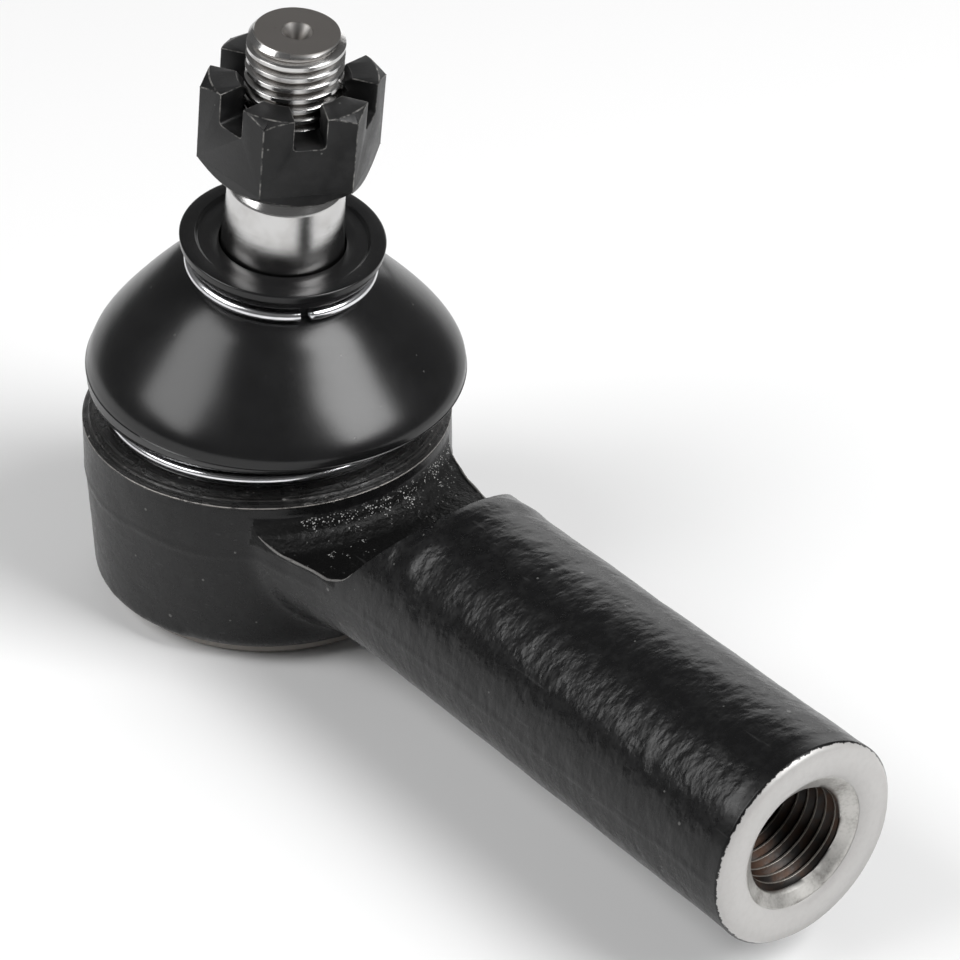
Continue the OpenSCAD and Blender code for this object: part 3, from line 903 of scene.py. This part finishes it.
def makeStud():
    s = stud
    def envelope(r, z):
        chamfer = s["tip"] + (s["top"] - z) * 0.72
        runOut = s["root"] if z < 37.0 else 9
        return min(r, chamfer, runOut)
    threaded = asObject(threadSolid(s["threadR"] - 0.01, s["root"], s["pitch"], s["threadLow"], s["top"], envelope,
        80), "threadBlank")
    drill = roundCorners([(0, s["top"] + 1), (1.9, s["top"] + 1), (1.62, s["top"] + 0.02), (1.5, s["top"] - 0.16),
        (0.62, s["top"] - 1.6), (0.55, s["top"] - 2.4), (0, s["top"] - 2.7)], {2: 0.1, 3: 0.1}, 3)
    carve(threaded, lathe(drill, 64))
    hole = lathe([(0, -9), (s["cotterR"] + 0.02, -9), (s["cotterR"] + 0.02, 9), (0, 9)], 40, "X")
    turnAll(hole, s["cotterTurn"])
    liftAll(hole, s["cotterZ"])
    carve(threaded, hole)
    # ball, neck, taper and the chamfer that leads into the thread
    big = s["taperSmall"] + 0.05 * (s["taperTop"] - 15.6)
    start, stop = math.acos(s["ballBottom"] / s["ball"]), math.radians(s["ballEnd"])
    angles = [start + (stop - start) * k / 40 for k in range(41)]
    ball = [(s["ball"] * math.sin(a), -s["ball"] * math.cos(a)) for a in angles]
    shape = [(0, -s["ballBottom"])] + ball + roundCorners([ball[-1], (6.2, 11.6), (s["neck"], 13.4),
        (big - 0.05, 15.4), (big, 16.2), (s["taperSmall"] + 0.012, s["taperTop"] - 0.2),
        (s["taperSmall"] - 0.08, s["taperTop"] + 0.02),
                    (5.15, 36.15), (4.35, 36.45), (4.22,
                        36.95)], {1: 1.2, 2: 1.2, 3: 0.6, 4: 0.3, 5: 0.1, 6: 0.08, 7: 0.2, 8: 0.2}, 4)[1:] + [(0, 36.95)]
    shank = asObject(lathe(shape, 160), "studBlank")
    for part in (threaded, shank):
        bm = openMesh(part)
        face, root = bm.verts.layers.float.new("endFace"), bm.verts.layers.float.new("root")
        for v in bm.verts:
            r = fromZ(v.co)
            v[face] = 1.0 if part is threaded and v.co.z > s["top"] - 0.003 and r < 4.4 else 0.0
            if part is threaded and r < 1.6 and s["top"] - 3 < v.co.z < s["top"] - 0.1:
                v[face] = 0.7
            v[root] = smoothStep(s["threadR"] - r, 0.12,
                0.7) if part is threaded and v.co.z < s["top"] - 0.6 and v.co.z > 37 else 0.0
        closeMesh(bm, part)
        part.data.transform(leanTurn)
    threaded.name, shank.name = "studThread", "ballAndTaper"
    finishPiece(threaded, "stud", studMat, None, 32)
    finishPiece(shank, "stud", studMat, "ball_stud", 32)


makeStud()


# castle nut

nut = {"af": 16.6, "height": 10.5, "seat": 37.5, "slotW": 3.3, "slotD": 3.5, "slotEdge": 0.45, "bore": 5.06,
       "pitch": 1.25, "grooveDepth": 0.45, "turn": 36.7, "edge": 0.09, "faceR": 8.1, "blankR": 9.6, "crownR": 8.55}


def makeNut():
    n = nut
    corner = n["af"] / 2 / math.cos(math.radians(30))
    bm = bmesh.new()
    bmesh.ops.create_cone(bm, cap_ends=True, cap_tris=False, segments=6, radius1=corner, radius2=corner,
        depth=n["height"])
    liftAll(bm, n["height"] / 2)
    body = asObject(bm, "castleNut")
    first = body.data.vertices[0].co
    turnNow = math.atan2(first.y, first.x)
    body.data.transform(Matrix.Rotation(math.radians(30) - turnNow, 4, "Z"))
    blank = roundCorners([(0, 0), (n["faceR"], 0), (n["blankR"], 1.45), (n["blankR"], n["height"] - 0.75),
        (n["crownR"], n["height"]), (0, n["height"])], {2: 0.15, 3: 0.15}, 3)
    carve(body, lathe(blank, 90), "INTERSECT")
    for k in range(3):
        slot = bmesh.new()
        bmesh.ops.create_cube(slot, size=1)
        bmesh.ops.scale(slot, verts=slot.verts, vec=(30, n["slotW"], 10))
        liftAll(slot, n["height"] - n["slotD"] + 5)
        floor = [e for e in slot.edges if all(v.co.z < n["height"] - 1 for v in e.verts)
            and abs(e.verts[0].co.x - e.verts[1].co.x) > 1]
        bmesh.ops.bevel(slot, geom=floor, offset=n["slotEdge"], offset_type="OFFSET", segments=4, profile=0.5,
            affect="EDGES", material=-1)
        turnAll(slot, 60 * k)
        carve(body, slot)
    bore = [(0, -1), (n["bore"] + 1.7, -1), (n["bore"] + 0.7, 0), (n["bore"], 0.7)]
    z = 0.9
    while z < n["height"] - 1.9:      # thread grooves cut into the wall
        deep = n["bore"] + n["grooveDepth"]
        bore += [(n["bore"], z), (deep, z + 0.45), (deep, z + 0.55), (n["bore"], z + 1.0)]
        z += n["pitch"]
    bore += [(n["bore"], n["height"] - 0.7), (n["bore"] + 0.7, n["height"]), (n["bore"] + 1.7, n["height"] + 1),
        (0, n["height"] + 1)]
    carve(body, lathe(bore, 96))
    facesOut(body)
    bm = openMesh(body)
    bmesh.ops.remove_doubles(bm, verts=bm.verts, dist=0.01)
    closeMesh(bm, body)
    m = body.modifiers.new("edges", "BEVEL")
    m.width, m.segments, m.profile = n["edge"], 3, 0.5
    m.limit_method, m.angle_limit = "ANGLE", math.radians(32)
    m.use_clamp_overlap = False
    m.miter_outer = "MITER_ARC"
    body.data.materials.append(nutMat)
    body.data.materials.append(wireMat)
    m.material = 1
    applied(body)
    layer = body.data.attributes.new("worn", "FLOAT", "CORNER")
    for face in body.data.polygons:
        inside = math.hypot(face.center.x, face.center.y) < n["bore"] + 0.75
        for c in face.loop_indices:
            layer.data[c].value = 1.0 if face.material_index == 1 and not inside else 0.0
        face.material_index = 0
    body.data.transform(Matrix.Rotation(math.radians(n["turn"]), 4, "Z"))
    body.data.transform(Matrix.Translation((0, 0, n["seat"])))
    body.data.transform(leanTurn)
    return finishPiece(body, "nut", nutMat, "castle_nut", 30)


makeNut()


# dust boot

boot = {"top": 28.2, "flange": 10.8, "widest": 20.25, "blendLow": 7.5, "blendHigh": 17.0, "pull": 1.3}


def leanBoot(bm):
    # the top follows the stud; the bulge is pulled along a little further
    for v in bm.verts:
        z = v.co.z
        v.co = Matrix.Rotation(restLean * smoothStep(z, boot["blendLow"], boot["blendHigh"]), 3, "Y") @ v.co
        v.co.x += boot["pull"] * smoothStep(z, 8.3, 11.3) * (1 - smoothStep(z, 14, 23))


def makeBoot():
    f, top, w = boot["flange"], boot["top"], boot["widest"]
    collar = roundCorners([(6.68, top - 0.55), (6.95, top - 0.4), (f - 1.95, top - 0.42), (f - 1.68, top - 0.03),
        (f - 0.02, top), (f - 0.12, top - 0.9), (f - 0.6, top - 1.95), (9.1, top - 2.3), (8.92, 25.6),
        (8.92, 24.35)],
                          {2: 0.12, 3: 0.15, 4: 0.2, 5: 0.5, 6: 0.25, 7: 0.2, 8: 0.3}, 5)
    slope = throughPoints([(8.92, 24.35), (9.4, 24.05), (10.4, 23.5), (11.7, 22.55), (13.2, 21.15), (15.1, 19.25),
        (17.0, 17.25), (18.6, 15.35), (19.65, 13.75), (w - 0.2, 12.6), (w - 0.1, 12.1)], 6)
    # moulding line, then the tuck that leads under to the lip on the head
    under = roundCorners([(w - 0.1, 12.1), (w - 0.01, 11.98), (w - 0.01, 11.86), (w - 0.22, 11.78), (w - 0.36, 10.6),
        (w - 1.3, 9.0), (17.9, 8.2), (16.9, 7.85), (16.25, 7.72), (16.05, 7.8)],
        {4: 0.8, 5: 1.4, 6: 1.2, 7: 0.4, 8: 0.08}, 5)
    inside = [(16.05, 8.5), (16.7, 9.2), (w - 2.2, 10.2), (w - 1.5, 11.5), (w - 1.8, 12.6), (18.0, 13.8),
        (17.0, 15.2), (15.4, 17.1), (13.6, 19.0), (11.7, 20.9), (10.0, 22.3), (8.5, 23.1), (7.4, 24.0), (6.85, 24.8),
        (6.68, 25.6)]
    bm = lathe(fineLine(collar[:-1] + slope[:-1] + under + inside, 1.0), 200, closed=True)
    for v in bm.verts:
        if v.co.z < 20:      # slight unevenness of a boot pushed on by hand
            v.co += 0.03 * lump(v.co, 14, 8.8) * Vector((v.co.x, v.co.y, 0)).normalized()
    leanBoot(bm)
    faceOutwards(bm)
    obj = asObject(bm, "rubberDustBoot")
    finishPiece(obj, None, rubberMat, "dust_boot", 30)
    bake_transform(obj)
    # the clamped lip stays on the head while the bellows above it follows the seat
    lip = roundCorners([(15.66, 5.97), (17.2, 5.97), (17.1, 6.06), (16.36, 6.1), (16.36, 7.15), (16.2, 7.3),
        (15.93, 7.35), (15.93, 8.26), (15.66, 8.28)], {3: 0.3, 4: 0.1, 5: 0.1}, 3)
    finishPiece(asObject(lathe(fineLine(lip, 1.0), 200, closed=True), "bootLip"), "rod_end", rubberMat,
        None, 30)


makeBoot()


# wire rings that hold the boot

rings = {"upperR": 9.55, "upperWire": 0.6, "upperZ": 24.9, "upperGap": 7.0, "upperTurn": -20.5, "lowerR": 16.95,
         "lowerWire": 0.57, "lowerZ": 6.72}


def wireRing(name, ringR, wireR, gap, turn, steps):
    # a round wire bent most of the way round, with sheared ends
    bm = bmesh.new()
    end = bmesh.ops.create_circle(bm, cap_ends=False, segments=20, radius=wireR)["verts"]
    turnAll(bm, 90, "X")
    bmesh.ops.translate(bm, verts=end, vec=(ringR, 0, 0))
    edges = bm.edges[:]
    bmesh.ops.spin(bm, geom=end + edges, cent=(0, 0, 0), axis=(0, 0, 1), angle=math.radians(360 - gap), steps=steps,
        use_merge=False, use_duplicate=False)
    for shrink, out in ((0.92, 0.1), (0.72, 0.12), (0.4, 0.08)):
        made = bmesh.ops.extrude_edge_only(bm, edges=openEdges(bm))["geom"]
        verts = [g for g in made if isinstance(g, bmesh.types.BMVert)]
        for v in verts:
            a = math.atan2(v.co.y, v.co.x)
            middle = Vector((ringR * math.cos(a), ringR * math.sin(a), 0))
            way = Vector((-math.sin(a), math.cos(a), 0)) * (-1 if abs(a) < 0.2 else 1)
            v.co = middle + (v.co - middle) * shrink + way * out
    bmesh.ops.holes_fill(bm, edges=openEdges(bm), sides=0)
    faceOutwards(bm)
    turnAll(bm, turn + gap / 2)
    return bm


def makeRings():
    r = rings
    bm = wireRing("upper", r["upperR"], r["upperWire"], r["upperGap"], r["upperTurn"], 150)
    liftAll(bm, r["upperZ"])
    bmesh.ops.transform(bm, verts=bm.verts, matrix=leanTurn)
    finishPiece(asObject(bm, "upperBootRing"), "boot_collar", wireMat, "boot_upper_ring", 50)
    bm = wireRing("lower", r["lowerR"], r["lowerWire"], 0.8, 5.0, 220)
    liftAll(bm, r["lowerZ"])
    finishPiece(asObject(bm, "lowerBootRing"), "rod_end", wireMat, "boot_lower_ring", 50)


makeRings()

# the disc spring is remade as a lathed cone; the other inner pieces keep their imported shape

spring = {"topZ": -12.63, "bottomZ": -13.77, "thick": 0.58, "innerR": 8.0, "outerR": 14.4, "travel": 0.3}


def makeDiscSpring():
    n = spring
    outline = roundCorners([(n["innerR"], n["topZ"]), (n["innerR"], n["topZ"] - n["thick"]),
        (n["outerR"], n["bottomZ"]), (n["outerR"], n["bottomZ"] + n["thick"])], {0: 0.1, 1: 0.1, 2: 0.1, 3: 0.1}, 3)
    obj = finishPiece(asObject(lathe(outline, 128, closed=True), "coneDiscSpring"), "rod_end",
        springMat, "disc_spring", 40)
    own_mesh(obj)


makeDiscSpring()
for name, mat in {"spring_plate": coverMat, "lower_bearing": plasticMat, "upper_bearing": plasticMat}.items():
    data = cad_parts[name].data
    data.materials.clear()
    data.materials.append(mat)
print("inner pieces finished")


# floor, lights and camera

studio = {"floorZ": -0.0156, "floorSize": 3.0, "worldLight": 0.13}


def makeStudio():
    bm = bmesh.new()
    bmesh.ops.create_grid(bm, x_segments=8, y_segments=8, size=studio["floorSize"])
    liftAll(bm, studio["floorZ"])
    floor = asObject(bm, "floor")
    mat, tree, shader = newMaterial("paleFloor")
    shader.inputs["Base Color"].default_value = (0.93, 0.93, 0.93, 1)
    shader.inputs["Roughness"].default_value = 0.9
    shader.inputs["Specular IOR Level"].default_value = 0.1
    floor.data.materials.append(mat)
    world = bpy.data.worlds.new("studioWorld")
    scene.world = world
    world.use_nodes = True
    world.node_tree.nodes["Background"].inputs[0].default_value = (1, 1, 1, 1)
    world.node_tree.nodes["Background"].inputs[1].default_value = studio["worldLight"]


# azimuth and elevation in degrees, distance and size in metres, power in watts
softboxes = {"leftSoftbox": (-109, 42, 0.8, (0.46, 0.5), 3.9),
             "rightSoftbox": (28, 46, 0.8, (0.44, 0.45), 6.2),
             "backSoftbox": (136, 17, 1.0, (0.9, 0.5), 2.2)}
litPoint = (0.03, 0, 0.01)


def addLight(name, azimuth, elevation, distance, size, power):
    a, e = math.radians(azimuth), math.radians(elevation)
    place = (litPoint[0] + distance * math.cos(a) * math.cos(e),
             litPoint[1] + distance * math.sin(a) * math.cos(e), litPoint[2] + distance * math.sin(e))
    data = bpy.data.lights.new(name, "AREA")
    data.shape, data.size, data.size_y, data.energy = "RECTANGLE", size[0], size[1], power
    lamp = bpy.data.objects.new(name, data)
    lamp.location = place
    lamp.rotation_mode = "QUATERNION"
    lamp.rotation_quaternion = (Vector(litPoint) - Vector(place)).to_track_quat("-Z", "Y")
    scene.collection.objects.link(lamp)


camera = {"place": (0.275128, -0.186754, 0.214473), "azimuth": 51.8782, "elevation": 33.4164, "roll": 0.3028,
          "lens": 136.64}


def makeCamera():
    data = bpy.data.cameras.new("studioCamera")
    data.sensor_width, data.lens = 36.0, camera["lens"]
    data.clip_start, data.clip_end = 0.01, 20.0
    cam = bpy.data.objects.new("studioCamera", data)
    azimuth, elevation, roll = (math.radians(camera[n]) for n in ("azimuth", "elevation", "roll"))
    back = Vector((math.sin(azimuth) * math.cos(elevation), -math.cos(azimuth) * math.cos(elevation),
        math.sin(elevation)))
    right = Vector((math.cos(azimuth), math.sin(azimuth), 0))
    up = back.cross(right)
    x = right * math.cos(roll) + up * math.sin(roll)
    y = up * math.cos(roll) - right * math.sin(roll)
    turn = Matrix((x, y, back)).transposed().to_4x4()
    cam.matrix_world = Matrix.Translation(camera["place"]) @ turn
    scene.collection.objects.link(cam)
    scene.camera = cam


makeStudio()
for name, box in softboxes.items():
    addLight(name, *box)
makeCamera()
scene.view_settings.view_transform = "Standard"
